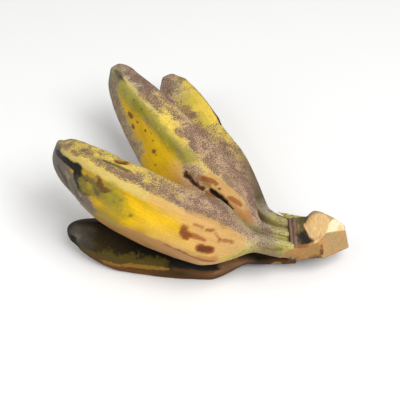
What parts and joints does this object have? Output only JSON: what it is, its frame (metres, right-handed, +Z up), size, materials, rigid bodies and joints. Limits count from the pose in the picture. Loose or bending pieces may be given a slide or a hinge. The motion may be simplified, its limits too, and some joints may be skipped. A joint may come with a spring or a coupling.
{
  "type": "hand of cooking bananas",
  "caption": "Hand of short, thick, ridged cooking bananas with freckled, browning yellow-green skin, joined at a knife-cut crown and lying down.",
  "frame": {"origin": "on the supporting surface, under the middle of the bounding box", "axes": "+Z up from the supporting surface; +X from the fruit tips towards the cut end of the crown; +Y along the row of stalks, away from the front fruit"},
  "size_m": [0.1878, 0.197, 0.085],
  "materials": {
    "skin_ripe": "smooth waxy banana skin, golden yellow with a cream ridge, brown freckles and a grey tip",
    "skin_mottled": "waxy banana skin, yellow-green and mauve-brown, densely speckled",
    "skin_browned": "dull banana skin, yellow turning mauve-brown, densely speckled",
    "skin_dark": "over-ripe banana skin, olive black with a yellow-brown underside",
    "crown_flesh": "matt fibrous cut crown, cream to tan, with brown skin at the stalks",
    "stalk_green": "dull olive-green stalk skin, torn edge dried brown"
  },
  "bodies": {
    "root": {"finger_front": "skin_ripe", "finger_middle": "skin_mottled", "finger_back": "skin_browned", "finger_lower": "skin_dark", "crown": "crown_flesh", "torn_stub": "stalk_green"}
  },
  "joints": []
}
